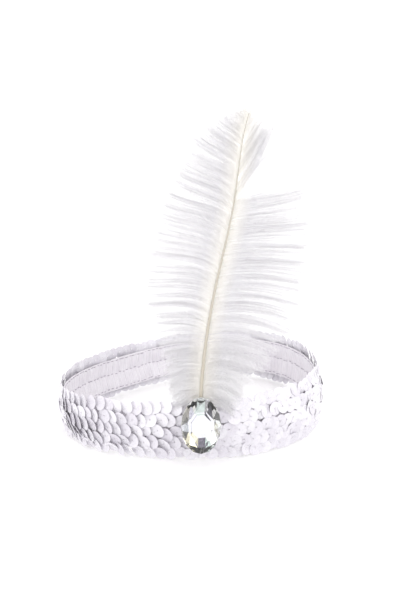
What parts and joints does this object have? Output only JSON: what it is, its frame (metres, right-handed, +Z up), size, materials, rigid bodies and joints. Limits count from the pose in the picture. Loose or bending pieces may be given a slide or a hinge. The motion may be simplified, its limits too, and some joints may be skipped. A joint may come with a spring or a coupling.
{
  "type": "flapper feather headband",
  "caption": "Oval elastic headband ring covered in overlapping sequins, with an oval cut stone at the front and one tall ostrich plume rising behind it.",
  "frame": {"origin": "middle of the whole piece's box, on the surface that the band's lower edge stands on", "axes": "+Z up along the plume, -Y out of the stone's face towards the viewer, +X to the right of someone who looks at the stone"},
  "size_m": [0.149, 0.1708, 0.1767],
  "materials": {
    "sequins": "glossy white film discs with a faint lavender cast",
    "elastic": "matt knitted lavender-grey elastic, gathered",
    "crystal": "polished clear facets over a silvered back",
    "felt": "matt pressed white felt",
    "shaft": "satin cream keratin",
    "barbs": "soft white down, matt"
  },
  "bodies": {
    "root": {"sequin_cover": "sequins", "elastic_band": "elastic", "stone": "crystal", "backing_pad": "felt", "feather_shaft": "shaft", "feather_vane_left": "barbs", "feather_vane_right": "barbs"}
  },
  "joints": []
}
